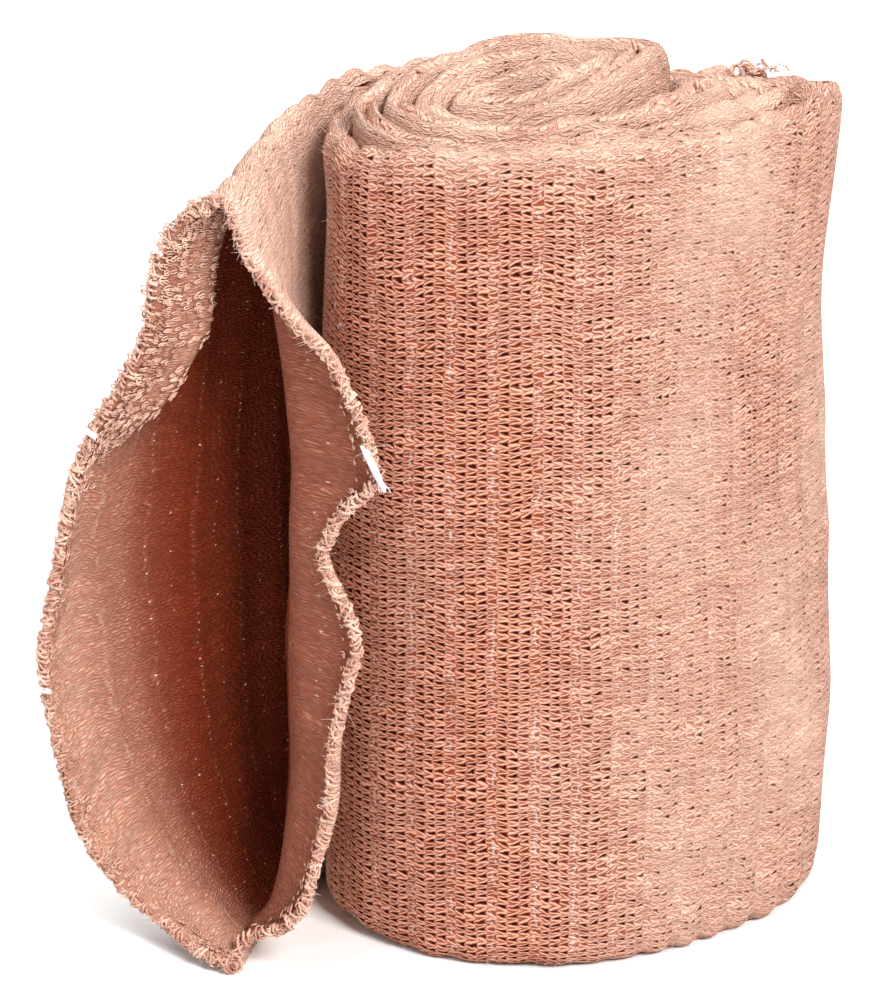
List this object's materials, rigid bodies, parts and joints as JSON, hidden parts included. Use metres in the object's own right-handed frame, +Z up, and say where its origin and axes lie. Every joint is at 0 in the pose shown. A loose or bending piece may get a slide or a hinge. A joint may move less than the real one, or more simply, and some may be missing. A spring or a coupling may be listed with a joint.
{
  "type": "tubular bandage",
  "caption": "Length of elasticated knitted tube, pressed flat, loosely wound and standing on edge, with its cut end unrolled and gaping open.",
  "frame": {"origin": "middle of the footprint, on the surface the roll stands on", "axes": "+Z up along the axis of the roll, which is the width of the flattened tube; the open end of the tube faces -Y and lies at -X of the roll"},
  "size_m": [0.0952, 0.051, 0.1048],
  "materials": {
    "knit": "matte ribbed cotton knit, warm beige",
    "elastic": "matte white covered elastic thread"
  },
  "bodies": {
    "root": {"tubular_bandage": "knit", "elastic_end_1": "elastic", "elastic_end_2": "elastic", "elastic_end_3": "elastic", "elastic_end_4": "elastic"}
  },
  "joints": []
}
